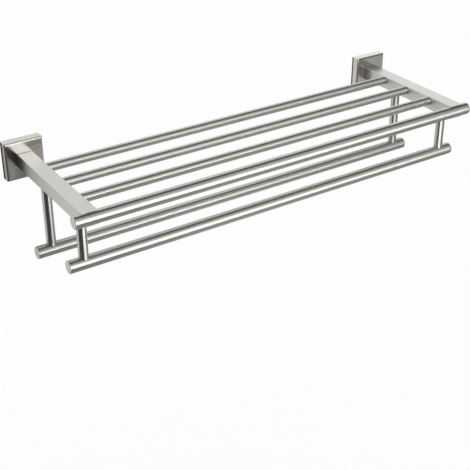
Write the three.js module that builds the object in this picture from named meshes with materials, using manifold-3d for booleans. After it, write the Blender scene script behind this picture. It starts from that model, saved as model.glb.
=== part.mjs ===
// Wall-mounted towel shelf with a double towel bar, in millimetres.
// X runs along the bars, +Y points into the wall and Z is up.
// The origin lies on the wall plane, midway between the two arms at the height of their axes.

import * as THREE from 'three';
import { mergeVertices, toCreasedNormals } from 'three/addons/utils/BufferGeometryUtils.js';
import Module from 'manifold-3d';

// Layout: reaches are measured out from the wall, setbacks back from the rail's axis, drops down
// from the arms' axes, and the overhang from an arm's middle to the bars' ends
const barLength = 590;
const barOverhang = 20;
const railReach = 192;
const frontBarSetback = 25.5;
const frontBarDrop = 70;
const backBarReach = 72;
const backBarDrop = 98;
const firstRungReach = 54;
const lastRungSetback = 43.5;
const rungNames = ['rung_back', 'rung_middle', 'rung_front'];
const armSpacing = barLength - 2 * barOverhang;
const frontBarReach = railReach - frontBarSetback;

// Clearance left between pieces that seat on each other, and how far a cut runs past its piece
const seatGap = 0.3;
const cutOverrun = 1;

// Flange cover: a square box, open towards the wall
const coverSide = 50;
const coverDepth = 13;
const coverWall = 2.5;
const coverFront = 3;
const coverChamfer = 1.5;

// Wall plate hidden in the cover: a base with a lip along its top and bottom edges
const plateSideGap = 2.5;
const plateFrontGap = 2;
const plateBase = 2.5;
const plateLip = 2;
const plateHoleRadius = 2.5;
const plateHoleSpacing = 24;

// Grub screw in the cover's underside, which locks the cover on the wall plate
const grubRadius = 2;
const grubLength = 5;
const grubRecess = 0.5;
const grubSocketWidth = 2;
const grubSocketDepth = 1.6;

// Arm: a rectangular tube that ends in a saddle round the front rail
const armWidth = 20;
const armHeight = 18;
const armWall = 1.2;
const armCorner = 1;
const armLip = 1.5;

// Threaded plug in the arm's wall end, and the screw that ties it to the cover
const plugLength = 16;
const armScrewRadius = 3;
const armScrewGrip = 12;
const armScrewHeadRadius = 5;
const armScrewHeadHeight = 4;
const armScrewSocketWidth = 5;
const armScrewSocketDepth = 2.5;

// Front rail and the two lower towel bars
const railRadius = 8;
const railWall = 1.2;
const barRadius = 8;
const barWall = 1.2;

// Rungs of the shelf, with their crowns just under the arms' top faces
const rungRadius = 6;
const rungWall = 1;
const rungCrownDrop = 0.5;

// Caps that close the rail and the bars
const capDisc = 1.5;
const capShank = 6;
const capShankWall = 1;
const capChamfer = 0.5;

// Posts that carry the lower bars
const postRadius = 6;

// Spigots at the ends of the rungs and posts, and how far they reach inside a tube's wall
const spigotRadius = 4;
const spigotReach = 4;

// Facets round a tube or post, and round a screw or its hole
const tubeSides = 32;
const screwSides = 24;
const cornerSteps = 3;
const hexSides = 6;

const creaseAngle = Math.PI / 5;

const wasm = await Module();
wasm.setup();

const steel = { color: 0xb9b5ae, roughness: 0.34, metalness: 1 };
const coverSteel = { color: 0xaaa59d, roughness: 0.3, metalness: 1 };
const platedSteel = { color: 0x9b9da0, roughness: 0.45, metalness: 1 };
const screwSteel = { color: 0x8a8987, roughness: 0.4, metalness: 1 };

const shelf = new THREE.Group();

// Turns a closed three.js geometry into a solid that can be cut and joined
function solid(geometry) {
  const bare = geometry.clone();
  bare.deleteAttribute('normal');
  bare.deleteAttribute('uv');
  const merged = mergeVertices(bare);
  const mesh = new wasm.Mesh({
    numProp: 3,
    vertProperties: new Float32Array(merged.attributes.position.array),
    triVerts: new Uint32Array(merged.index.array),
  });
  return new wasm.Manifold(mesh);
}

// Turns a solid back into a geometry with crisp edges
function geometryOf(body) {
  const mesh = body.getMesh();
  const geometry = new THREE.BufferGeometry();
  geometry.setAttribute('position', new THREE.BufferAttribute(mesh.vertProperties, mesh.numProp));
  geometry.setIndex(new THREE.BufferAttribute(mesh.triVerts, 1));
  return toCreasedNormals(geometry, creaseAngle);
}

function addPiece(name, geometry, finish, x, y, z) {
  const mesh = new THREE.Mesh(geometry, new THREE.MeshStandardMaterial(finish));
  mesh.name = name;
  mesh.position.set(x, y, z);
  shelf.add(mesh);
}

function block(width, depth, height) {
  return new THREE.BoxGeometry(width, depth, height);
}

function rodAlongX(radius, length, sides) {
  return new THREE.CylinderGeometry(radius, radius, length, sides).rotateZ(Math.PI / 2);
}

function rodAlongY(radius, length, sides) {
  return new THREE.CylinderGeometry(radius, radius, length, sides);
}

function rodAlongZ(radius, length, sides) {
  return new THREE.CylinderGeometry(radius, radius, length, sides).rotateX(Math.PI / 2);
}

// Distance from the middle of a hexagon to its corners, for a given width across its flats
function hexRadius(widthAcrossFlats) {
  return widthAcrossFlats / 2 / Math.cos(Math.PI / hexSides);
}

function tubeAlongX(outer, inner, length) {
  const half = length / 2;
  const profile = [
    new THREE.Vector2(outer, -half),
    new THREE.Vector2(outer, half),
    new THREE.Vector2(inner, half),
    new THREE.Vector2(inner, -half),
    new THREE.Vector2(outer, -half),
  ];
  return new THREE.LatheGeometry(profile, tubeSides).rotateZ(Math.PI / 2);
}

function addRoundedRectangle(path, width, height, radius) {
  const x = width / 2;
  const y = height / 2;
  path.moveTo(x, y - radius);
  path.absarc(x - radius, y - radius, radius, 0, Math.PI / 2, false);
  path.absarc(-x + radius, y - radius, radius, Math.PI / 2, Math.PI, false);
  path.absarc(-x + radius, -y + radius, radius, Math.PI, Math.PI * 1.5, false);
  path.absarc(x - radius, -y + radius, radius, Math.PI * 1.5, Math.PI * 2, false);
  path.closePath();
  return path;
}

// Square block with its back on the wall plane and its front edges chamfered all round
function chamferedBlock(side, depth, chamfer) {
  const half = side / 2;
  const outline = new THREE.Shape([
    new THREE.Vector2(half, 0),
    new THREE.Vector2(-half, 0),
    new THREE.Vector2(-half, chamfer - depth),
    new THREE.Vector2(chamfer - half, -depth),
    new THREE.Vector2(half - chamfer, -depth),
    new THREE.Vector2(half, chamfer - depth),
  ]);
  const upright = new THREE.ExtrudeGeometry(outline, { depth: side, bevelEnabled: false });
  upright.translate(0, 0, -half);
  const level = upright.clone().rotateY(Math.PI / 2);
  return solid(upright).intersect(solid(level));
}

// Flange cover, with the arm screw's hole in front and the grub screw's hole underneath
const coverCavityFront = coverDepth - coverFront;
const plateDepth = coverCavityFront - plateFrontGap;
const grubReach = (plateDepth + plateBase) / 2;

function flangeCover() {
  const shell = chamferedBlock(coverSide, coverDepth, coverChamfer);
  const cavityWidth = coverSide - 2 * coverWall;
  const cavityLength = coverCavityFront + cutOverrun;
  const cavity = block(cavityWidth, cavityLength, cavityWidth);
  cavity.translate(0, cutOverrun - cavityLength / 2, 0);
  const screwHole = rodAlongY(armScrewRadius + seatGap, coverFront + 2 * cutOverrun, screwSides);
  screwHole.translate(0, -coverDepth + coverFront / 2, 0);
  const grubHole = rodAlongZ(grubRadius + seatGap, coverWall + 2 * cutOverrun, screwSides);
  grubHole.translate(0, -grubReach, (coverWall - coverSide) / 2);
  const cut = shell.subtract(solid(cavity)).subtract(solid(screwHole)).subtract(solid(grubHole));
  return geometryOf(cut);
}

// Wall plate: its top lip carries the cover, and the grub screw bears on its bottom lip
const plateWidth = coverSide - 2 * (coverWall + plateSideGap);
const plateTop = coverSide / 2 - coverWall - seatGap;
const grubTip = grubRecess + grubLength - coverSide / 2;
const plateBottom = grubTip + seatGap;
const plateHeight = plateTop - plateBottom;
const plateCentre = (plateTop + plateBottom) / 2;

function wallPlate() {
  const base = block(plateWidth, plateBase, plateHeight).translate(0, -plateBase / 2, 0);
  const lipOffset = (plateHeight - plateLip) / 2;
  let plate = solid(base);
  for (const side of [-1, 1]) {
    const lip = block(plateWidth, plateDepth, plateLip);
    lip.translate(0, -plateDepth / 2, side * lipOffset);
    plate = plate.add(solid(lip));
  }
  for (const side of [-1, 1]) {
    const hole = rodAlongY(plateHoleRadius, plateBase + 2 * cutOverrun, screwSides);
    hole.translate(side * plateHoleSpacing / 2, -plateBase / 2, 0);
    plate = plate.subtract(solid(hole));
  }
  return geometryOf(plate);
}

// Grub screw with its hexagon socket facing down
function grubScrew() {
  const body = rodAlongZ(grubRadius, grubLength, screwSides);
  const socket = rodAlongZ(hexRadius(grubSocketWidth), grubSocketDepth + cutOverrun, hexSides);
  socket.translate(0, 0, (grubSocketDepth - cutOverrun - grubLength) / 2);
  return geometryOf(solid(body).subtract(solid(socket)));
}

// Arm screw: its head lies in the cover and its hexagon socket faces the wall
const armStart = coverDepth + seatGap;
const armScrewSeat = coverCavityFront - seatGap;
const armScrewLength = armStart + armScrewGrip - armScrewSeat;

function armScrew() {
  const head = rodAlongY(armScrewHeadRadius, armScrewHeadHeight, screwSides);
  head.translate(0, armScrewHeadHeight / 2, 0);
  const shank = rodAlongY(armScrewRadius, armScrewLength + cutOverrun, screwSides);
  shank.translate(0, (cutOverrun - armScrewLength) / 2, 0);
  const socket = rodAlongY(hexRadius(armScrewSocketWidth), armScrewSocketDepth + cutOverrun, hexSides);
  socket.translate(0, armScrewHeadHeight + (cutOverrun - armScrewSocketDepth) / 2, 0);
  return geometryOf(solid(head).add(solid(shank)).subtract(solid(socket)));
}

// Plug that closes the arm's wall end and takes the arm screw's thread
function armPlug() {
  const width = armWidth - 2 * (armWall + seatGap);
  const height = armHeight - 2 * (armWall + seatGap);
  const body = block(width, plugLength, height).translate(0, -plugLength / 2, 0);
  const hole = rodAlongY(armScrewRadius + seatGap, plugLength + 2 * cutOverrun, screwSides);
  hole.translate(0, -plugLength / 2, 0);
  return geometryOf(solid(body).subtract(solid(hole)));
}

// Arm: sockets for the spigots of the rungs in its inner wall and of the posts in its underside,
// and a saddle at its front end that the rail slides into
const armEnd = railReach + armLip;
const armLength = armEnd - armStart;
const rungHeight = armHeight / 2 - rungCrownDrop - rungRadius;
const lastRungReach = railReach - lastRungSetback;
const rungPitch = (lastRungReach - firstRungReach) / (rungNames.length - 1);
const rungReaches = rungNames.map((name, index) => firstRungReach + index * rungPitch);
const postReaches = { front: frontBarReach, back: backBarReach };

function armTube() {
  const outline = addRoundedRectangle(new THREE.Shape(), armWidth, armHeight, armCorner);
  const bore = block(armWidth - 2 * armWall, armLength + 2 * cutOverrun, armHeight - 2 * armWall);
  const settings = { depth: armLength, bevelEnabled: false, curveSegments: cornerSteps };
  const bar = new THREE.ExtrudeGeometry(outline, settings).rotateX(Math.PI / 2);
  bore.translate(0, -armLength / 2, 0);
  return solid(bar).subtract(solid(bore));
}

function railSaddle() {
  const seatRadius = railRadius + seatGap;
  const seat = solid(rodAlongX(seatRadius, armWidth + 2 * cutOverrun, tubeSides));
  const mouthDepth = armLip + cutOverrun;
  const mouth = block(armWidth + 2 * cutOverrun, mouthDepth, 2 * seatRadius);
  mouth.translate(0, -mouthDepth / 2, 0);
  return seat.add(solid(mouth));
}

function arm(innerSide) {
  let body = armTube();
  body = body.subtract(railSaddle().translate([0, armStart - railReach, 0]));
  for (const reach of rungReaches) {
    const socket = rodAlongX(spigotRadius + seatGap, armWall + 2 * cutOverrun, tubeSides);
    socket.translate(innerSide * (armWidth - armWall) / 2, armStart - reach, rungHeight);
    body = body.subtract(solid(socket));
  }
  for (const reach of Object.values(postReaches)) {
    const socket = rodAlongZ(spigotRadius + seatGap, armWall + 2 * cutOverrun, tubeSides);
    socket.translate(0, armStart - reach, (armWall - armHeight) / 2);
    body = body.subtract(solid(socket));
  }
  return geometryOf(body);
}

// Rung: a tube between the arms' inner faces, drawn in to a spigot at each end
function rung() {
  const shoulder = (armSpacing - armWidth) / 2 - seatGap;
  const tip = (armSpacing - armWidth) / 2 + armWall + spigotReach;
  const bore = rungRadius - rungWall;
  const spigotBore = spigotRadius - rungWall;
  const profile = [
    new THREE.Vector2(spigotBore, -tip),
    new THREE.Vector2(spigotRadius, -tip),
    new THREE.Vector2(spigotRadius, -shoulder),
    new THREE.Vector2(rungRadius, -shoulder),
    new THREE.Vector2(rungRadius, shoulder),
    new THREE.Vector2(spigotRadius, shoulder),
    new THREE.Vector2(spigotRadius, tip),
    new THREE.Vector2(spigotBore, tip),
    new THREE.Vector2(spigotBore, shoulder - rungWall),
    new THREE.Vector2(bore, shoulder - rungWall),
    new THREE.Vector2(bore, rungWall - shoulder),
    new THREE.Vector2(spigotBore, rungWall - shoulder),
    new THREE.Vector2(spigotBore, -tip),
  ];
  return new THREE.LatheGeometry(profile, tubeSides).rotateZ(Math.PI / 2);
}

// Tube of the rail or a lower bar, without its caps
const tubeLength = barLength - 2 * (capDisc + seatGap);

function frontRail() {
  return tubeAlongX(railRadius, railRadius - railWall, tubeLength);
}

// Lower bar: a hole in its crown takes each post's lower spigot
function towelBar() {
  let body = solid(tubeAlongX(barRadius, barRadius - barWall, tubeLength));
  for (const side of [-1, 1]) {
    const hole = rodAlongZ(spigotRadius + seatGap, barRadius, tubeSides);
    hole.translate(side * armSpacing / 2, 0, barRadius);
    body = body.subtract(solid(hole));
  }
  return geometryOf(body);
}

// End cap: a chamfered disc on a hollow shank that fills the tube's bore; its face looks along +X
function endCap(radius, wall) {
  const shankRadius = radius - wall - seatGap;
  const profile = [
    new THREE.Vector2(shankRadius - capShankWall, -capShank - seatGap),
    new THREE.Vector2(shankRadius, -capShank - seatGap),
    new THREE.Vector2(shankRadius, 0),
    new THREE.Vector2(radius, 0),
    new THREE.Vector2(radius, capDisc - capChamfer),
    new THREE.Vector2(radius - capChamfer, capDisc),
    new THREE.Vector2(0, capDisc),
    new THREE.Vector2(0, 0),
    new THREE.Vector2(shankRadius - capShankWall, 0),
    new THREE.Vector2(shankRadius - capShankWall, -capShank - seatGap),
  ];
  return solid(new THREE.LatheGeometry(profile, tubeSides).rotateZ(-Math.PI / 2));
}

function addCaps(name, radius, wall, reach, drop) {
  const capPlace = barLength / 2 - capDisc;
  const right = endCap(radius, wall);
  const left = right.rotate([0, 0, 180]);
  addPiece(`${name}_cap_left`, geometryOf(left), steel, -capPlace, -reach, -drop);
  addPiece(`${name}_cap_right`, geometryOf(right), steel, capPlace, -reach, -drop);
}

// Post from the arm's underside down to a lower bar, saddled over the bar's crown
function post(drop) {
  const shoulder = -armHeight / 2 - seatGap;
  const spigotTop = armWall - armHeight / 2 + spigotReach;
  const spigotBottom = barRadius - barWall - spigotReach - drop;
  const rod = rodAlongZ(postRadius, shoulder + drop, tubeSides);
  rod.translate(0, 0, (shoulder - drop) / 2);
  const saddle = rodAlongX(barRadius + seatGap, 2 * (postRadius + cutOverrun), tubeSides);
  saddle.translate(0, 0, -drop);
  const spigot = rodAlongZ(spigotRadius, spigotTop - spigotBottom, tubeSides);
  spigot.translate(0, 0, (spigotTop + spigotBottom) / 2);
  return geometryOf(solid(rod).subtract(solid(saddle)).add(solid(spigot)));
}

function addArmSide(side, name) {
  const x = side * armSpacing / 2;
  addPiece(`flange_cover_${name}`, flangeCover(), coverSteel, x, 0, 0);
  addPiece(`wall_plate_${name}`, wallPlate(), platedSteel, x, 0, plateCentre);
  addPiece(`grub_screw_${name}`, grubScrew(), screwSteel, x, -grubReach, grubTip - grubLength / 2);
  addPiece(`arm_screw_${name}`, armScrew(), screwSteel, x, -armScrewSeat, 0);
  addPiece(`arm_plug_${name}`, armPlug(), platedSteel, x, -armStart, 0);
  addPiece(`arm_${name}`, arm(-side), steel, x, -armStart, 0);
  addPiece(`front_post_${name}`, post(frontBarDrop), steel, x, -frontBarReach, 0);
  addPiece(`back_post_${name}`, post(backBarDrop), steel, x, -backBarReach, 0);
}

addArmSide(-1, 'left');
addArmSide(1, 'right');
rungNames.forEach((name, index) => addPiece(name, rung(), steel, 0, -rungReaches[index], rungHeight));
addPiece('front_rail', frontRail(), steel, 0, -railReach, 0);
addPiece('towel_bar_front', towelBar(), steel, 0, -frontBarReach, -frontBarDrop);
addPiece('towel_bar_back', towelBar(), steel, 0, -backBarReach, -backBarDrop);
addCaps('rail', railRadius, railWall, railReach, 0);
addCaps('bar_front', barRadius, barWall, frontBarReach, frontBarDrop);
addCaps('bar_back', barRadius, barWall, backBarReach, backBarDrop);

export default shelf;
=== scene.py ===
# %% [markdown]
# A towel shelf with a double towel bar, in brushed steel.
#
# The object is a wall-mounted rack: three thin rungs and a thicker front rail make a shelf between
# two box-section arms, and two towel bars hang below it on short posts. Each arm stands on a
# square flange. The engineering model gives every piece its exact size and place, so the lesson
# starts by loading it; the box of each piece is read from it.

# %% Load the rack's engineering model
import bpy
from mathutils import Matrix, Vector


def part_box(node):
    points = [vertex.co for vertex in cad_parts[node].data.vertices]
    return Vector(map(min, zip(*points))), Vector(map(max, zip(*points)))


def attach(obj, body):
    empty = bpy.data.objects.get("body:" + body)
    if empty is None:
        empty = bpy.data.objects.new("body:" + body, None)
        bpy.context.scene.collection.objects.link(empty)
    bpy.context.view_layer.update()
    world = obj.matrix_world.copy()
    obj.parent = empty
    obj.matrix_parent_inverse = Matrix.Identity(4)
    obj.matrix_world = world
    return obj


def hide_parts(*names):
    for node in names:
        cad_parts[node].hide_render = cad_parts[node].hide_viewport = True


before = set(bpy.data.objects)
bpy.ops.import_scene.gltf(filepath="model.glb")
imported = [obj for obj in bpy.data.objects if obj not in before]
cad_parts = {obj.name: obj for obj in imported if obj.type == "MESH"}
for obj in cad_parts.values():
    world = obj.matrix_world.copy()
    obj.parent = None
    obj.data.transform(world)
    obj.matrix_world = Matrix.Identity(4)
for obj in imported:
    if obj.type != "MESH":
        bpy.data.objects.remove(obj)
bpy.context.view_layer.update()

# %% [markdown]
# Blender's materials are graphs of small nodes. Written by hand, even 1 - mask * 2 takes many
# lines, so one small class wraps a socket and lets Python's own operators add the Math nodes.
# Each operator has its reflected form too, for a plain number on the left of the sign. The result
# is the same graph that could be drawn by hand in the Shader Editor, and it can be edited there.

# %% Sockets that calculate
class Value:
    """A number that changes over the surface: an output socket in a finish."""

    def __init__(self, finish, socket):
        self.finish = finish
        self.socket = socket

    def maths(self, operation, first, second):
        return self.finish.node("ShaderNodeMath", {"operation": operation}, {0: first, 1: second})

    def __add__(self, other):
        return self.maths("ADD", self, other)

    def __sub__(self, other):
        return self.maths("SUBTRACT", self, other)

    def __rsub__(self, other):
        return self.maths("SUBTRACT", other, self)

    def __mul__(self, other):
        return self.maths("MULTIPLY", self, other)

    def __truediv__(self, other):
        return self.maths("DIVIDE", self, other)

    def __rtruediv__(self, other):
        return self.maths("DIVIDE", other, self)

    __radd__ = __add__
    __rmul__ = __mul__


print("signs that add a Math node: + - * /")

# %% [markdown]
# A second class holds a material and its main shader, and one method makes every other node. It
# takes the node's type, its settings and what its sockets get, a plain value or a link. Settings
# come first, because some of them, such as a Mix node's data type, change which sockets it uses.

# %% Finishes that hold nodes
import bpy


def grey(tone):
    """A colour that is the same in red, green and blue."""
    return (tone, tone, tone, 1)


class Finish:
    """A material whose nodes are added by code."""

    def __init__(self, name):
        self.material = bpy.data.materials.new(name)
        self.material.use_nodes = True
        self.tree = self.material.node_tree
        self.shader = self.tree.nodes["Principled BSDF"]

    def node(self, kind, settings, inputs, output=0):
        """Adds a node: its settings first, then its sockets' values or links."""
        node = self.tree.nodes.new(kind)
        for key, setting in settings.items():
            if key == "stops":
                self.set_stops(node.color_ramp, setting)
            else:
                setattr(node, key, setting)
        for key, value in inputs.items():
            self.feed(node.inputs[key], value)
        return Value(self, node.outputs[output])

    def set_stops(self, ramp, stops):
        while len(ramp.elements) < len(stops):
            ramp.elements.new(1.0)
        for element, (position, tone) in zip(ramp.elements, stops):
            element.position = position
            element.color = grey(tone)

    def feed(self, socket, value):
        if isinstance(value, Value):
            self.tree.links.new(value.socket, socket)
        else:
            socket.default_value = value

    def set(self, **sockets):
        """Sets the main shader's sockets, with _ in place of each space."""
        for key, value in sockets.items():
            self.feed(self.shader.inputs[key.replace("_", " ")], value)


print("a mid grey as a colour:", grey(0.5))

# %% [markdown]
# Brushed metal needs few kinds of node. Noise that is measured in the piece's own axes, and
# stretched along them, gives scratches and patches. A Mix node blends two colours by such a value,
# and a Bump node makes a faint relief of it. The Mix node has a set of sockets for numbers and
# another for colours under the same names, so the colour sockets are called by their number.

# %% Helpers for a metal's grain
mix_first, mix_second, mix_result = 6, 7, 2


def surface_point(finish):
    """The point on the surface in the piece's own axes, in metres."""
    return finish.node("ShaderNodeTexCoord", {}, {}, "Object")


def noise(finish, stretch, detail, roughness):
    """Noise from 0 to 1, with stretch cycles for each metre along the piece's three axes."""
    settings = {"operation": "MULTIPLY"}
    where = finish.node("ShaderNodeVectorMath", settings, {0: surface_point(finish), 1: stretch})
    sockets = {"Vector": where, "Scale": 1.0, "Detail": detail, "Roughness": roughness}
    return finish.node("ShaderNodeTexNoise", {}, sockets, "Fac")


def between(value, low, high):
    """Takes a value from its 0 to 1 range to the range from low to high."""
    return value * (high - low) + low


def mixed(finish, factor, first, second, way="MIX"):
    """Mixes two colours. way is MIX, or MULTIPLY for the one times the other."""
    settings = {"data_type": "RGBA", "blend_type": way}
    sockets = {"Factor": factor, mix_first: first, mix_second: second}
    return finish.node("ShaderNodeMix", settings, sockets, mix_result)


def relief(finish, height, strength, depth):
    """Normals that lean as on a surface whose height is given, with depth in metres."""
    sockets = {"Strength": strength, "Distance": depth, "Height": height}
    return finish.node("ShaderNodeBump", {}, sockets)


print("halfway from 0.2 to 0.4:", round(between(0.5, 0.2, 0.4), 3))

# %% [markdown]
# The rack is stainless steel with a satin finish. A belt leaves fine parallel scratches, which
# smear reflections across their own direction, so a highlight becomes a clean line along a tube.
# The shader's anisotropy gives that smear, and it takes its direction from the piece's own Z axis:
# every piece here is built with its long axis on Z and then turned into place. On top of that,
# stretched noise gives the visible part of the grain: slightly lighter and darker scratches,
# broader bands, patches of rubbed and rougher metal, and a faint relief.

# %% A recipe for brushed steel
scratch_share = 0.5
band_share = 0.15
wear_share = 0.35
band_breadth = 5
mid_tone = 0.5
tone_contrast = 1.8
roughness_by_wear = 0.6
grain_relief = 0.25
grain_depth = 0.00002
smear_round = 0.0
smear_along = 0.25


def brushed_steel(name, light, dark, grain, patches, roughness, spread, anisotropy, smear):
    """grain and patches are cycles per metre along X, Y and Z. smear is the smear's direction."""
    finish = Finish(name)
    scratches = noise(finish, grain, detail=3.0, roughness=0.65)
    band_grain = tuple(cycles / band_breadth for cycles in grain)
    bands = noise(finish, band_grain, detail=2.0, roughness=0.5)
    wear = noise(finish, patches, detail=3.0, roughness=0.6)
    tone = scratches * scratch_share + bands * band_share + wear * wear_share
    contrast = (tone - mid_tone) * tone_contrast + mid_tone
    finish.set(Base_Color=mixed(finish, contrast, dark, light), Metallic=1.0)
    rough = scratches * (1 - roughness_by_wear) + wear * roughness_by_wear
    finish.set(Roughness=between(rough, roughness - spread, roughness + spread))
    finish.set(Anisotropic=anisotropy, Anisotropic_Rotation=smear)
    finish.set(Normal=relief(finish, scratches, grain_relief, grain_depth))
    return finish.material


print("smear directions, in turns:", smear_round, smear_along)

# %% [markdown]
# A tube turns under the belt, so its scratches run round it and smear the light along it. A flat
# bar passes below the belt, so on the arms they run lengthwise and smear the light across. The
# flanges are the smoothest and mirror the arms. The pieces hidden inside are zinc plated or left
# as plain steel, with a grain that is the same in all directions.

# %% Finishes for tubes, posts, arms, flanges, caps and hidden pieces
steel_light = (0.64, 0.632, 0.598, 1)
steel_dark = (0.54, 0.531, 0.496, 1)
round_grain = (45, 45, 2200)
arm_grain = (2400, 2400, 28)
cover_grain = (1800, 1800, 60)

tube_steel = brushed_steel(
    "tube steel", light=steel_light, dark=steel_dark,
    grain=round_grain, patches=(14, 14, 9),
    roughness=0.36, spread=0.04, anisotropy=1.0, smear=smear_along)
post_steel = brushed_steel(
    "post steel", light=steel_light, dark=steel_dark,
    grain=round_grain, patches=(20, 20, 14),
    roughness=0.34, spread=0.04, anisotropy=1.0, smear=smear_along)
arm_steel = brushed_steel(
    "arm steel", light=(0.665, 0.655, 0.63, 1), dark=(0.57, 0.56, 0.537, 1),
    grain=arm_grain, patches=(40, 40, 12),
    roughness=0.38, spread=0.04, anisotropy=0.7, smear=smear_round)
cover_steel = brushed_steel(
    "cover steel", light=(0.66, 0.64, 0.595, 1), dark=(0.56, 0.54, 0.5, 1),
    grain=cover_grain, patches=(50, 50, 50),
    roughness=0.19, spread=0.02, anisotropy=0.5, smear=smear_round)
cap_steel = brushed_steel(
    "cap steel", light=steel_light, dark=steel_dark,
    grain=(900, 900, 900), patches=(60, 60, 60),
    roughness=0.3, spread=0.05, anisotropy=0.3, smear=smear_round)
plate_zinc = brushed_steel(
    "plate zinc", light=(0.62, 0.64, 0.66, 1), dark=(0.46, 0.48, 0.5, 1),
    grain=(300, 300, 300), patches=(60, 60, 60),
    roughness=0.42, spread=0.08, anisotropy=0.0, smear=smear_round)
screw_steel = brushed_steel(
    "screw steel", light=(0.52, 0.51, 0.49, 1), dark=(0.36, 0.35, 0.34, 1),
    grain=(800, 800, 800), patches=(150, 150, 150),
    roughness=0.38, spread=0.08, anisotropy=0.0, smear=smear_round)
print("finishes:", [material.name for material in bpy.data.materials])

# %% [markdown]
# Real edges are never razor sharp. Each corner of an outline is eased here with a small curve,
# which catches the light as a broken edge does. A Bevel modifier could do that later, but it would
# also find the edges between a tube's narrow sides. Easing the outline before it becomes a shape
# touches only the corners that a maker would break.

# %% Outlines with eased corners
from mathutils import Vector

ease_steps = 3
longest_ease = 0.4


def eased(corners, radius, closed=True):
    """Rounds the corners of a line of (x, y) points, by at most a share of each side's length."""
    points = []
    count = len(corners)
    for index, corner in enumerate(corners):
        here = Vector(corner)
        if not closed and index in (0, count - 1):
            points.append(here)
            continue
        before = Vector(corners[index - 1]) - here
        after = Vector(corners[(index + 1) % count]) - here
        reach = min(radius, before.length * longest_ease, after.length * longest_ease)
        start = here + before.normalized() * reach
        end = here + after.normalized() * reach
        for step in range(ease_steps + 1):
            share = step / ease_steps
            one = start.lerp(here, share)
            two = here.lerp(end, share)
            points.append(one.lerp(two, share))
    return points


print("each eased corner has", ease_steps + 1, "points")

# %% [markdown]
# A mesh is a list of points and a list of faces that say which points they join. BMesh, Blender's
# own mesh editor for scripts, takes both and then turns every face to look outwards, which no
# hand-written list gets right each time. Every new shape in this lesson comes out of this helper.

# %% Meshes from points and faces
import bmesh


def mesh_from(name, vertices, faces):
    """Makes a mesh whose faces all point outwards."""
    mesh = bpy.data.meshes.new(name)
    shape = bmesh.new()
    made = [shape.verts.new(vertex) for vertex in vertices]
    for face in faces:
        shape.faces.new([made[index] for index in face])
    bmesh.ops.recalc_face_normals(shape, faces=shape.faces)
    shape.to_mesh(mesh)
    shape.free()
    return mesh


print("meshes are made with Blender", bpy.app.version_string)

# %% [markdown]
# Tubes, rungs, caps and posts are round, so each is a profile swept round the Z axis, as on a
# lathe. A Screw modifier or a plain cylinder could do it, but a short function gives control over
# every ring, also over one that isn't level.

# %% Profiles turned round Z
from math import cos, pi, sin

around = 96
on_axis = 1e-9


def revolve(name, profile, closed=True, height_at=None):
    """Sweeps (radius, height) points round Z. height_at(x, y, height) may bend a ring."""
    vertices = []
    rings = []
    for radius, height in profile:
        ring = []
        for step in range(around if radius > on_axis else 1):
            angle = 2 * pi * step / around
            x = radius * cos(angle)
            y = radius * sin(angle)
            z = height_at(x, y, height) if height_at else height
            ring.append(len(vertices))
            vertices.append((x, y, z))
        rings.append(ring)
    pairs = list(zip(rings, rings[1:]))
    if closed:
        pairs.append((rings[-1], rings[0]))
    faces = []
    for low, high in pairs:
        for step in range(around):
            after = (step + 1) % around
            corners = [low[step % len(low)], low[after % len(low)]]
            corners += [high[after % len(high)], high[step % len(high)]]
            # Where a ring is a single point on the axis, the square becomes a triangle
            faces.append(list(dict.fromkeys(corners)))
    return mesh_from(name, vertices, faces)


print("profiles turn in", around, "steps")

# %% [markdown]
# The engineering model says where every piece is, so nothing is placed by eye. A piece is built on
# its own Z axis and then turned: along X as the rail, against X as the left caps, out from the wall
# as the arms, or not at all, as the upright posts.

# %% Places, sizes and turns
from math import radians
from mathutils import Matrix

along_x = Matrix.Rotation(radians(90), 4, "Y")
along_minus_x = Matrix.Rotation(radians(-90), 4, "Y")
out_from_wall = Matrix.Rotation(radians(90), 4, "X")
upright = Matrix.Identity(4)


def middle(node):
    low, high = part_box(node)
    return (low + high) / 2


def size_of(node):
    low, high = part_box(node)
    return high - low


def in_mm(*lengths):
    return [round(length * 1000, 2) for length in lengths]


print("arms apart, middle to middle:", in_mm(2 * middle("arm_right").x), "mm")

# %% [markdown]
# Every piece that is made here stands for one node of the engineering model. It takes over that
# node's place, hides it, rides on the rack's body and says which finish it takes. Shading is
# smooth along a curve and sharp where two faces meet at an angle. A Weighted Normal modifier keeps
# the large flat faces truly flat, so that they mirror like a plate and only the edges bend light.

# %% Place a piece over its node
crease = radians(32)
flat_weight = 100


def place_piece(mesh, node, spot, turn, material):
    piece = bpy.data.objects.new(node + "_steel", mesh)
    bpy.context.scene.collection.objects.link(piece)
    mesh.materials.clear()
    mesh.materials.append(material)
    mesh.shade_smooth()
    mesh.set_sharp_from_angle(angle=crease)
    flats = piece.modifiers.new("flats stay flat", "WEIGHTED_NORMAL")
    flats.keep_sharp = True
    flats.weight = flat_weight
    piece.matrix_world = Matrix.Translation(spot) @ turn
    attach(piece, "root")
    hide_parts(node)


# %% [markdown]
# The real holes are drilled or milled. Holes could be woven into a mesh by hand, but a Boolean
# modifier does what a drill does: it takes a round cutter away from the solid. The cuts are turned
# into a plain mesh at once, so that no helper stays behind.

# %% Cut and drill
weld = 0.000002


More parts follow.
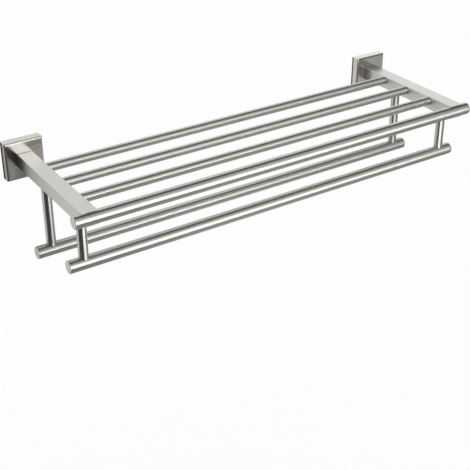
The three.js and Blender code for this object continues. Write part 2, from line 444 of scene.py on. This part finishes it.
def cut(mesh, cutters):
    """Takes the cutters' meshes away from a mesh, with Boolean modifiers, and gives the result."""
    body = bpy.data.objects.new("being_cut", mesh)
    bpy.context.scene.collection.objects.link(body)
    helpers = []
    for index, cutter in enumerate(cutters):
        helper = bpy.data.objects.new(f"cutter_{index}", cutter)
        bpy.context.scene.collection.objects.link(helper)
        helpers.append(helper)
        modifier = body.modifiers.new(f"cut_{index}", "BOOLEAN")
        modifier.operation = "DIFFERENCE"
        modifier.solver = "EXACT"
        modifier.object = helper
    state = bpy.context.evaluated_depsgraph_get()
    result = bpy.data.meshes.new_from_object(body.evaluated_get(state))
    result.name = mesh.name
    # The cuts can leave points almost on top of each other, which are welded into one
    shape = bmesh.new()
    shape.from_mesh(result)
    bmesh.ops.remove_doubles(shape, verts=shape.verts, dist=weld)
    bmesh.ops.dissolve_degenerate(shape, edges=shape.edges, dist=weld)
    shape.to_mesh(result)
    shape.free()
    for used in [body, *helpers]:
        bpy.data.objects.remove(used)
    return result


def drill(radius, length, turn, spot):
    """A round cutter: its middle at spot, its length along the turned Z axis."""
    half = length / 2
    profile = [(0, -half), (radius, -half), (radius, half), (0, half)]
    cutter = revolve("drill", profile, closed=False)
    cutter.transform(Matrix.Translation(spot) @ turn)
    return cutter


print("cut points closer than", weld * 1000, "mm are welded")

# %% [markdown]
# The front rail and the two lower bars are the same 16 mm tube. A curve with a round bevel could
# make one, but it would be a skin without a wall, so a tube is one closed profile, outside and
# inside, with its ends eased. The lower bars have a hole in the crown for each post. Extra rings on
# both sides of the hole keep the long faces of the tube out of the cut.

# %% Rail and bars
tube_wall = 0.0012
tube_edge = 0.0002
spigot_radius = 0.004
seat_gap = 0.0003
drill_ring = 0.012
arm_middle = middle("arm_right").x


def tube_mesh(name, radius, length, rings=()):
    half = length / 2
    outside = [(radius, -half), (radius, half)]
    inside = [(radius - tube_wall, half), (radius - tube_wall, -half)]
    profile = eased(outside + inside, tube_edge)
    first_end = ease_steps + 1
    rows = [Vector((radius, height)) for height in sorted(rings)]
    return revolve(name, profile[:first_end] + rows + profile[first_end:])


rail_size = size_of("front_rail")
bar_size = size_of("towel_bar_front")
rail_radius = rail_size.z / 2
bar_radius = bar_size.z / 2
rail = tube_mesh("front rail", rail_radius, rail_size.x)
place_piece(rail, "front_rail", middle("front_rail"), along_x, tube_steel)

for node in ("towel_bar_front", "towel_bar_back"):
    holes = []
    rings = []
    for side in (-1, 1):
        rings += [side * arm_middle - drill_ring, side * arm_middle + drill_ring]
        # In the bar's own axes, Z runs along the bar and -X is up
        spot = Vector((-bar_radius, 0, side * arm_middle))
        holes.append(drill(spigot_radius + seat_gap, bar_radius, along_x, spot))
    bar = cut(tube_mesh("towel bar", bar_radius, bar_size.x, rings), holes)
    place_piece(bar, node, middle(node), along_x, tube_steel)
print("rail and bars, length and diameter:", in_mm(rail_size.x, rail_size.z), "mm")

# %% [markdown]
# Each rung is a thinner tube between the arms, drawn in at both ends to a spigot that sits in a
# hole in the arm's inner face. The spigots could be pieces of their own, but a rung is one solid,
# so its whole shape is one closed profile, outside and inside.

# %% Rungs
rung_wall = 0.001
arm_size = size_of("arm_left")
rung_shoulder = arm_middle - arm_size.x / 2 - seat_gap

for node in ("rung_back", "rung_middle", "rung_front"):
    rung_size = size_of(node)
    rung_radius = rung_size.z / 2
    tip = rung_size.x / 2
    bore = rung_radius - rung_wall
    spigot_bore = spigot_radius - rung_wall
    step = rung_shoulder - rung_wall
    profile = [
        (spigot_radius, -tip), (spigot_radius, -rung_shoulder), (rung_radius, -rung_shoulder),
        (rung_radius, rung_shoulder), (spigot_radius, rung_shoulder), (spigot_radius, tip),
        (spigot_bore, tip), (spigot_bore, step), (bore, step),
        (bore, -step), (spigot_bore, -step), (spigot_bore, -tip),
    ]
    rung = revolve("rung", eased(profile, tube_edge))
    place_piece(rung, node, middle(node), along_x, tube_steel)
print("rungs, length and diameter:", in_mm(rung_size.x, rung_size.z), "mm")

# %% [markdown]
# A small turned disc closes each open tube end. Its rim is chamfered and it stands on a hollow
# shank that is pressed into the tube's bore. A flat face across the tube would be simpler, but
# the fine joint behind the disc is what shows that a cap is there.

# %% End caps
cap_disc = 0.0015
cap_chamfer = 0.0005
cap_wall = 0.001
cap_edge = 0.00015


def end_cap(radius, length):
    shank = radius - tube_wall - seat_gap
    back = cap_disc - length
    profile = [
        (0, cap_disc), (radius - cap_chamfer, cap_disc), (radius, cap_disc - cap_chamfer),
        (radius, 0), (shank, 0), (shank, back),
        (shank - cap_wall, back), (shank - cap_wall, 0), (0, 0),
    ]
    mesh = revolve("end cap", eased(profile, cap_edge, closed=False), closed=False)
    mesh.transform(Matrix.Translation((0, 0, -cap_disc + length / 2)))
    return mesh


for part in ("rail", "bar_front", "bar_back"):
    for side, turn in (("left", along_minus_x), ("right", along_x)):
        node = f"{part}_cap_{side}"
        size = size_of(node)
        place_piece(end_cap(size.z / 2, size.x), node, middle(node), turn, cap_steel)
print("caps, length and diameter:", in_mm(size.x, size.z), "mm")

# %% [markdown]
# A post is a 12 mm rod with a spigot at each end. Its foot is hollowed to sit over the bar's
# crown, so its lower edge is a curve in space. A Boolean could cut it, but a formula is cleaner:
# each ring of the foot is lifted to the height of the bar's surface under that point.

# %% Posts with saddled feet
from math import sqrt

post_edge = 0.00025
post_shaft = 0.001


def post_mesh(radius, top, shoulder, drop, foot_tip):
    """Heights are measured from the arms' axes, and on the saddle from the bar's surface."""
    saddle = bar_radius + seat_gap

    def height_at(x, y, row):
        height, on_saddle = row
        return -drop + sqrt(saddle ** 2 - y ** 2) + height if on_saddle else height

    corners = [(0, top), (spigot_radius, top), (spigot_radius, shoulder), (radius, shoulder)]
    corners.append((radius, shoulder - post_shaft))
    head = [(out, (height, False)) for out, height in eased(corners, post_edge, closed=False)]
    corners = [(radius, post_shaft), (radius, 0), (spigot_radius, 0)]
    foot = [(out, (height, True)) for out, height in eased(corners, post_edge, closed=False)]
    tip = [(spigot_radius, (foot_tip, False)), (0, (foot_tip, False))]
    return revolve("post", head + foot + tip, closed=False, height_at=height_at)


arm_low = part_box("arm_left")[0].z
for row, bar in (("front", "towel_bar_front"), ("back", "towel_bar_back")):
    for side in ("left", "right"):
        node = f"{row}_post_{side}"
        low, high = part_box(node)
        centre = middle(node)
        radius = (high.x - low.x) / 2
        mesh = post_mesh(radius, high.z, arm_low - seat_gap, -middle(bar).z, low.z)
        spot = Vector((centre.x, centre.y, 0))
        place_piece(mesh, node, spot, upright, post_steel)
print("posts, diameter:", in_mm(2 * radius), "mm")

# %% [markdown]
# The arms and the flanges are straight bars with rounded long edges. A cube with a Bevel modifier
# could be either, but it would round every edge alike. Here one outline is stacked in levels along
# Z, and a level may be drawn in: that gives a chamfer or an eased end just where it belongs. Plain
# boxes serve as cutters for what is hollow.

# %% Stacked outlines and box cutters
corner_steps = 6


def rounded_outline(width, height, corner):
    outline = []
    for quarter, (sx, sy) in enumerate(((1, 1), (-1, 1), (-1, -1), (1, -1))):
        for step in range(corner_steps + 1):
            angle = pi / 2 * (quarter + step / corner_steps)
            x = sx * (width / 2 - corner) + corner * cos(angle)
            y = sy * (height / 2 - corner) + corner * sin(angle)
            outline.append((x, y))
    return outline


def stacked(name, width, height, corner, levels):
    """A solid bar along Z with rounded long edges, drawn in at each (inset, z) level."""
    vertices = []
    for inset, z in levels:
        shape = rounded_outline(width - 2 * inset, height - 2 * inset, corner)
        vertices += [(x, y, z) for x, y in shape]
    count = len(vertices) // len(levels)
    last = len(vertices) - count
    faces = [list(range(count)), list(range(last, last + count))]
    for row in range(0, last, count):
        for index in range(count):
            after = (index + 1) % count
            faces.append([row + index, row + after, row + count + after, row + count + index])
    return mesh_from(name, vertices, faces)


def box_cutter(low, high):
    ends = list(zip(low, high))
    corners = [(x, y, z) for x in ends[0] for y in ends[1] for z in ends[2]]
    faces = [(0, 1, 3, 2), (4, 5, 7, 6), (0, 1, 5, 4), (2, 3, 7, 6), (0, 2, 6, 4), (1, 3, 7, 5)]
    return mesh_from("box cutter", corners, faces)


print("an outline has", 4 * (corner_steps + 1), "points")

# %% [markdown]
# The rungs and the posts are held by holes in the arms: three in the inner face and two in the
# underside. They could be typed in as places, but then they might miss, so each hole is drilled
# where the piece that it takes has its middle.

# %% Holes for the spigots
arm_wall = 0.0012
cut_overrun = 0.001
hole_radius = spigot_radius + seat_gap
hole_depth = arm_wall + 2 * cut_overrun


def spigot_holes(inner, start):
    """Cutters for an arm that starts at start metres from the wall. inner is 1 or -1 along X."""
    # In the arm's own axes, Z runs out from the wall, X to the right and Y up
    holes = []
    for rung in ("rung_back", "rung_middle", "rung_front"):
        centre = middle(rung)
        spot = Vector((inner * (arm_size.x - arm_wall) / 2, centre.z, -centre.y - start))
        holes.append(drill(hole_radius, hole_depth, along_x, spot))
    for post in ("front_post_left", "back_post_left"):
        spot = Vector((0, (arm_wall - arm_size.z) / 2, -middle(post).y - start))
        holes.append(drill(hole_radius, hole_depth, out_from_wall, spot))
    return holes


print("spigot holes, diameter:", in_mm(2 * hole_radius), "mm")

# %% [markdown]
# An arm is a rectangular tube. Its first level is drawn in a little: that eased foot leaves a fine
# seam on the flange. The front end is cut to a saddle that reaches round the rail, with a thin lip
# above and below it. All of these are cuts in one bar, so Boolean modifiers do the work.

# %% Arms
arm_corner = 0.001
arm_foot = 0.0005


def arm_mesh(inner, start, length):
    levels = [(arm_foot, 0), (0, arm_foot), (0, length)]
    bar = stacked("arm", arm_size.x, arm_size.z, arm_corner, levels)
    bore_x = arm_size.x / 2 - arm_wall
    bore_z = arm_size.z / 2 - arm_wall
    end = length + cut_overrun
    bore = box_cutter((-bore_x, -bore_z, -cut_overrun), (bore_x, bore_z, end))
    seat_radius = rail_radius + seat_gap
    reach = -middle("front_rail").y - start
    wide = arm_size.x / 2 + cut_overrun
    seat = drill(seat_radius, 2 * wide, along_x, Vector((0, 0, reach)))
    mouth = box_cutter((-wide, -seat_radius, reach), (wide, seat_radius, end))
    return cut(bar, [bore, seat, mouth] + spigot_holes(inner, start))


for side, inner in (("left", 1), ("right", -1)):
    node = f"arm_{side}"
    wall_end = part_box(node)[1].y
    mesh = arm_mesh(inner, -wall_end, size_of(node).y)
    spot = Vector((middle(node).x, wall_end, middle("front_rail").z))
    place_piece(mesh, node, spot, out_from_wall, arm_steel)
print("arms:", in_mm(*arm_size), "mm, faces", len(mesh.polygons))

# %% [markdown]
# A flange is a square pressed cover, chamfered round its front and open towards the wall. It hides
# the wall plate. A bevelled block could stand in for it, but it would be full where the real one
# is open. Its square outlines are stacked like the arm's, each drawn in further, and between
# chamfer and face they follow a soft curve, which shows as a bright line along the top. Then the
# block is hollowed and drilled for the arm's screw and for the locking screw underneath.

# %% Flange covers
cover_wall = 0.0025
cover_front = 0.003
cover_chamfer = 0.0015
cover_corner = 0.0006
rim_edge = 0.00015
front_ease = 0.0009
screw_hole = 0.0033
lock_hole = 0.0023


def cover_mesh(side, depth, lock_reach):
    half = side / 2
    chamfer_start = (0, depth - cover_chamfer)
    chamfer_middle = (cover_chamfer / 2, depth - cover_chamfer / 2)
    chamfer_end = (cover_chamfer, depth)
    rim = eased([(0, 0), chamfer_start, chamfer_end], rim_edge, closed=False)
    face = (2 * cover_chamfer, depth)
    front_edge = eased([chamfer_middle, chamfer_end, face], front_ease, closed=False)
    levels = [tuple(point) for point in rim[:-1] + front_edge[1:]]
    block = stacked("flange cover", side, side, cover_corner, levels)
    block.transform(out_from_wall)
    inside = half - cover_wall
    cavity = box_cutter((-inside, cover_front - depth, -inside), (inside, cut_overrun, inside))
    front_spot = Vector((0, cover_front / 2 - depth, 0))
    front = drill(screw_hole, cover_front + 2 * cut_overrun, out_from_wall, front_spot)
    under_spot = Vector((0, -lock_reach, cover_wall / 2 - half))
    under = drill(lock_hole, cover_wall + 2 * cut_overrun, upright, under_spot)
    return cut(block, [cavity, front, under])


for side in ("left", "right"):
    node = f"flange_cover_{side}"
    size = size_of(node)
    mesh = cover_mesh(size.x, size.y, -middle(f"grub_screw_{side}").y)
    centre = middle(node)
    place_piece(mesh, node, Vector((centre.x, 0, centre.z)), upright, cover_steel)
print("flange covers:", in_mm(*size), "mm")

# %% [markdown]
# The wall plates, plugs and screws are plain turned and pressed parts that the engineering model
# already has in their true shape, so they keep their meshes and only get their finishes: zinc
# plated steel for the plates and plugs, and bare steel for the screws.

# %% Finishes of the hidden pieces
hidden = {
    "wall_plate": plate_zinc, "arm_plug": plate_zinc,
    "grub_screw": screw_steel, "arm_screw": screw_steel,
}
for stem, material in hidden.items():
    for side in ("left", "right"):
        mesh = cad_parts[f"{stem}_{side}"].data
        mesh.materials.clear()
        mesh.materials.append(material)
print("hidden pieces:", 2 * len(hidden))

# %% [markdown]
# The camera's place, direction and lens were worked out from the photograph's perspective: it
# stands to the left of the rack, about 1.4 m away, and looks down at 28 degrees. It could be
# turned by three angles, but its own right and up directions say the same without any order of
# turning. The small lens shift is that of a picture whose object isn't at the middle of its frame.

# %% Camera
camera_spot = Vector((-0.6662, -1.07703, 0.52842))
camera_right = Vector((0.832881, -0.553445, 0.00273))
camera_up = Vector((0.258892, 0.393958, 0.881914))
camera_lens = 76.24
lens_shift = (-0.0123, -0.0668)

camera = bpy.data.cameras.new("camera")
camera.lens = camera_lens
camera.shift_x, camera.shift_y = lens_shift
camera_object = bpy.data.objects.new("camera", camera)
bpy.context.scene.collection.objects.link(camera_object)
axes = Matrix((camera_right, camera_up, camera_right.cross(camera_up))).transposed()
camera_object.matrix_world = Matrix.Translation(camera_spot) @ axes.to_4x4()
bpy.context.scene.camera = camera_object
print("camera", round(camera_spot.length, 3), "m from the origin")

# %% [markdown]
# Polished metal shows its surroundings, so the surroundings are part of the finish. A picture of a
# real room could serve, but it would bring its own colours. The room is a plain white world at
# strength 1, in which a colour renders about as it is written. The floor is pale and matt, and lies
# well below the rack, so it only takes a faint shadow.

# %% Room and floor
room_strength = 1.0
floor_height = -1.1
floor_half = 6.0
floor_tone = 0.985
one_square = [(0, 1, 2, 3)]

scene = bpy.context.scene
scene.view_settings.view_transform = "Standard"
room = bpy.data.worlds.new("white room")
scene.world = room
room.use_nodes = True
room_light = room.node_tree.nodes["Background"]
room_light.inputs["Color"].default_value = grey(1)
room_light.inputs["Strength"].default_value = room_strength


def studio_piece(name, points, faces, finish):
    """Adds a piece of the studio, which isn't part of the rack."""
    piece = bpy.data.objects.new(name, mesh_from(name, points, faces))
    scene.collection.objects.link(piece)
    piece.data.materials.append(finish.material)
    return piece


floor_paint = Finish("floor paint")
floor_paint.set(Base_Color=grey(floor_tone), Roughness=1.0, Specular_IOR_Level=0.0)
floor_sides = [(-1, -1), (1, -1), (1, 1), (-1, 1)]
floor_corners = [(x * floor_half, y * floor_half, floor_height) for x, y in floor_sides]
studio_piece("floor", floor_corners, one_square, floor_paint)
print("floor at", floor_height, "m")

# %% [markdown]
# A soft light in front of the rack draws the bright line along every tube. One large lamp would
# draw it with hard edges, so there are five rectangles: the bright centre, dimmer ones below and
# above it, which let the line fade as it does under a large softbox, and a lower tip at its right,
# which makes the line finer on the far half of the rack. The lamps show only in reflections.
# Everything else is left to the world.

# %% Lamps in front of the rack
lamp_plane = -0.79


def soft_lamp(name, left, right, low, high, radiance):
    """A lamp that faces the wall, from left to right and from low to high, in metres."""
    width = right - left
    height = high - low
    light = bpy.data.lights.new(name, "AREA")
    light.shape = "RECTANGLE"
    light.size = width
    light.size_y = height
    # An area lamp's energy in watts is its radiance times pi times its area
    light.energy = radiance * pi * width * height
    lamp = bpy.data.objects.new(name, light)
    scene.collection.objects.link(lamp)
    spot = Vector(((left + right) / 2, lamp_plane, (low + high) / 2))
    # A lamp shines against its own Z axis, which points out from the wall
    lamp.matrix_world = Matrix.Translation(spot) @ out_from_wall
    lamp.visible_camera = False
    lamp.visible_diffuse = False


soft_lamp("lamp foot", left=-0.28, right=0.12, low=-0.26, high=-0.17, radiance=1.8)
soft_lamp("lamp centre", left=-0.28, right=0.12, low=-0.17, high=0.16, radiance=4.2)
soft_lamp("lamp tip", left=0.12, right=0.44, low=-0.09, high=0.12, radiance=4.6)
soft_lamp("lamp shoulder", left=-0.28, right=0.30, low=0.16, high=0.29, radiance=3.2)
soft_lamp("lamp edge", left=-0.28, right=0.26, low=0.29, high=0.52, radiance=1.2)
print("lamps:", len(bpy.data.lights))

# %% [markdown]
# Product photographers stand dark and pale cloth round shiny metal, because its shape is read from
# what it mirrors. Here the cloth glows by itself, so its tone is exactly the one written down, and
# it is hidden from every ray but reflected ones: it changes neither the light nor the background.
# A tone can change along a value by a list of (value, grey) stops.

# %% Cloth for screens and cards
reflected_only = ("camera", "diffuse", "transmission", "volume_scatter", "shadow")


def ramp(finish, value, stops):
    """A grey that follows a value through (value, grey) stops."""
    first = stops[0][0]
    last = stops[-1][0]
    places = [((place - first) / (last - first), tone) for place, tone in stops]
    share = (value - first) / (last - first)
    return finish.node("ShaderNodeValToRGB", {"stops": places}, {0: share})


def glow(finish, tone):
    finish.set(Base_Color=grey(0), Specular_IOR_Level=0.0)
    finish.set(Emission_Color=tone, Emission_Strength=1.0)


def axes_of(finish):
    place = surface_point(finish)
    return [finish.node("ShaderNodeSeparateXYZ", {}, {0: place}, axis) for axis in "XYZ"]


def reflected_piece(name, points, faces, finish):
    piece = studio_piece(name, points, faces, finish)
    for ray in reflected_only:
        setattr(piece, f"visible_{ray}", False)


print("cloth is hidden from", reflected_only)

# %% [markdown]
# A screen is part of a pipe that runs along the rack, with its ends closed. Flat cards could do the
# same, but a round tube mirrors all of them at once and would show their corners. The tone depends
# on the angle above the horizon and on the place from left to right.

# %% A curved screen
screen_radius = 0.85
screen_axis_y = -0.17
degrees_per_step = 4
degrees_per_radian = 180 / pi


def screen(name, heights, sides):
    """heights: (angle, grey) stops. sides: (x, grey) stops. The two greys are multiplied."""
    first = heights[0][0]
    last = heights[-1][0]
    steps = round((last - first) / degrees_per_step)
    arc = []
    for step in range(steps + 1):
        angle = radians(first + (last - first) * step / steps)
        arc.append((screen_axis_y - screen_radius * cos(angle), screen_radius * sin(angle)))
    arc.append((screen_axis_y, 0))
    row = len(arc)
    points = [(x, y, z) for x in (sides[0][0], sides[-1][0]) for y, z in arc]
    faces = [(step, step + 1, row + step + 1, row + step) for step in range(steps)]
    faces += [list(range(row)), list(range(row, 2 * row))]
    cloth = Finish(name + " cloth")
    x, y, z = axes_of(cloth)
    angle = z.maths("ARCTAN2", z, screen_axis_y - y) * degrees_per_radian
    by_height = ramp(cloth, angle, heights)
    by_side = ramp(cloth, x, sides)
    glow(cloth, mixed(cloth, 1.0, by_height, by_side, way="MULTIPLY"))
    reflected_piece(name, points, faces, cloth)
    print(name, "from", first, "to", last, "degrees")


print("screens stand", screen_radius, "m from their axis")

# %% [markdown]
# Three screens reach from below the rack, past eye level, to overhead. Two dark fields matter
# most: the one overhead draws the dark line along the crown of each tube, and the one at eye level
# on the left darkens the flange, the root of the arm and the posts there. The jump in the last
# stops from left to right makes the right ends paler, which the rack's right side mirrors.

# %% Low, eye level and high screens
low_heights = [(-124, 0.75), (-112, 0.7), (-100, 0.75), (-84, 0.8), (-60, 0.95), (-44, 1.0)]
low_sides = [
    (-1.2, 0.15), (-0.1, 0.2), (0.085, 0.35), (0.11, 0.9), (0.16, 1.0), (0.45, 1.0),
    (0.6, 0.3), (0.85, 0.1), (1.49, 0.05), (1.5, 0.5),
]
eye_heights = [(-44, 0.97), (-16, 1.0)]
eye_sides = [
    (-1.2, 0.02), (0.085, 0.02), (0.11, 0.8), (0.16, 0.9), (0.22, 1.0), (0.5, 1.0),
    (0.65, 0.5), (0.85, 0.5), (0.95, 0.65), (1.1, 0.5), (1.49, 0.1), (1.5, 0.5),
]
high_heights = [
    (-16, 0.55), (34, 1.0), (58, 1.0), (69, 0.95),
    (77, 0.5), (84, 0.05), (104, 0.05), (118, 0.35),
]
high_sides = [
    (-1.2, 0.04), (-0.5, 0.06), (-0.37, 1.0), (0.35, 1.0),
    (0.6, 0.55), (0.8, 0.3), (1.49, 0.2), (1.5, 0.5),
]
screen("low screen", low_heights, low_sides)
screen("eye level screen", eye_heights, eye_sides)
screen("high screen", high_heights, high_sides)

# %% [markdown]
# The rack is shown without its wall, but the metal still mirrors one. A whole wall would stand in
# the picture, so cards that only reflections see take its place. A pale one glows a little behind
# the wall's plane as a lit wall, with a painted shadow of the left flange beside it, which shades
# the side of the arm towards its root. A second card, further back on the right and a little
# brighter than the room, lightens the top of the far arm and the backs of the tubes next to it.

# %% Wall card with a painted flange shadow, and back card
# The dip in these tones beside the left flange is the flange's shadow on the wall, painted in
wall_tones_with_painted_shadow = [
    (-1.2, 0.85), (-0.375, 0.85), (-0.35, 0.68), (-0.3, 0.5),
    (-0.24, 0.5), (-0.22, 0.85), (1.4, 0.85),
]
wall_card_left = wall_tones_with_painted_shadow[0][0]
wall_card_right = wall_tones_with_painted_shadow[-1][0]
back_card_tone = 1.2


def card(name, finish, left, right, low, high, behind):
    """An upright card that stands behind the wall's plane, by that many metres."""
    corners = [(left, low), (right, low), (right, high), (left, high)]
    reflected_piece(name, [(x, behind, z) for x, z in corners], one_square, finish)
    print(name, round(right - left, 2), "by", round(high - low, 2), "m")


wall_glow_with_painted_shadow = Finish("wall card cloth")
# The card glows at a fixed pale tone, with the painted flange shadow in it
glow(wall_glow_with_painted_shadow, ramp(wall_glow_with_painted_shadow, axes_of(wall_glow_with_painted_shadow)[0], wall_tones_with_painted_shadow))
card("wall card", wall_glow_with_painted_shadow, wall_card_left, wall_card_right, low=-0.9, high=0.03, behind=0.04)
back_cloth = Finish("back card cloth")
glow(back_cloth, grey(back_card_tone))
card("back card", back_cloth, left=0.45, right=2.0, low=0.06, high=1.3, behind=0.5)

# %% [markdown]
# A flange throws a narrow shadow on the wall at both its sides, and a deeper one below. With no
# wall to fall on, they are dark patches that only reflections see. They leave the square behind
# the flange free, so its back stays light. What the metal makes of them is the dark line along the
# back of the flange's side.

# %% Flange shadows
shadow_tone = 0.02
shadow_width = 0.0022
flange_half = size_of("flange_cover_left").x / 2
shadow_edge = flange_half + shadow_width
shadow_foot = -3 * flange_half
patches = [
    (-shadow_edge, -flange_half, -flange_half, flange_half),
    (flange_half, shadow_edge, -flange_half, flange_half),
    (-shadow_edge, shadow_edge, shadow_foot, -flange_half),
]
shadow_paint = Finish("wall shadow paint")
shadow_paint.set(Base_Color=grey(shadow_tone), Roughness=1.0, Specular_IOR_Level=0.0)
for side in (-1, 1):
    points = []
    for left, right, low, high in patches:
        points += [(left, low), (right, low), (right, high), (left, high)]
    points = [(x + side * arm_middle, 0, z) for x, z in points]
    faces = [(first, first + 1, first + 2, first + 3) for first in range(0, len(points), 4)]
    reflected_piece("wall shadow", points, faces, shadow_paint)
print("shadows", in_mm(shadow_width), "mm wide, patches to a flange:", len(patches))
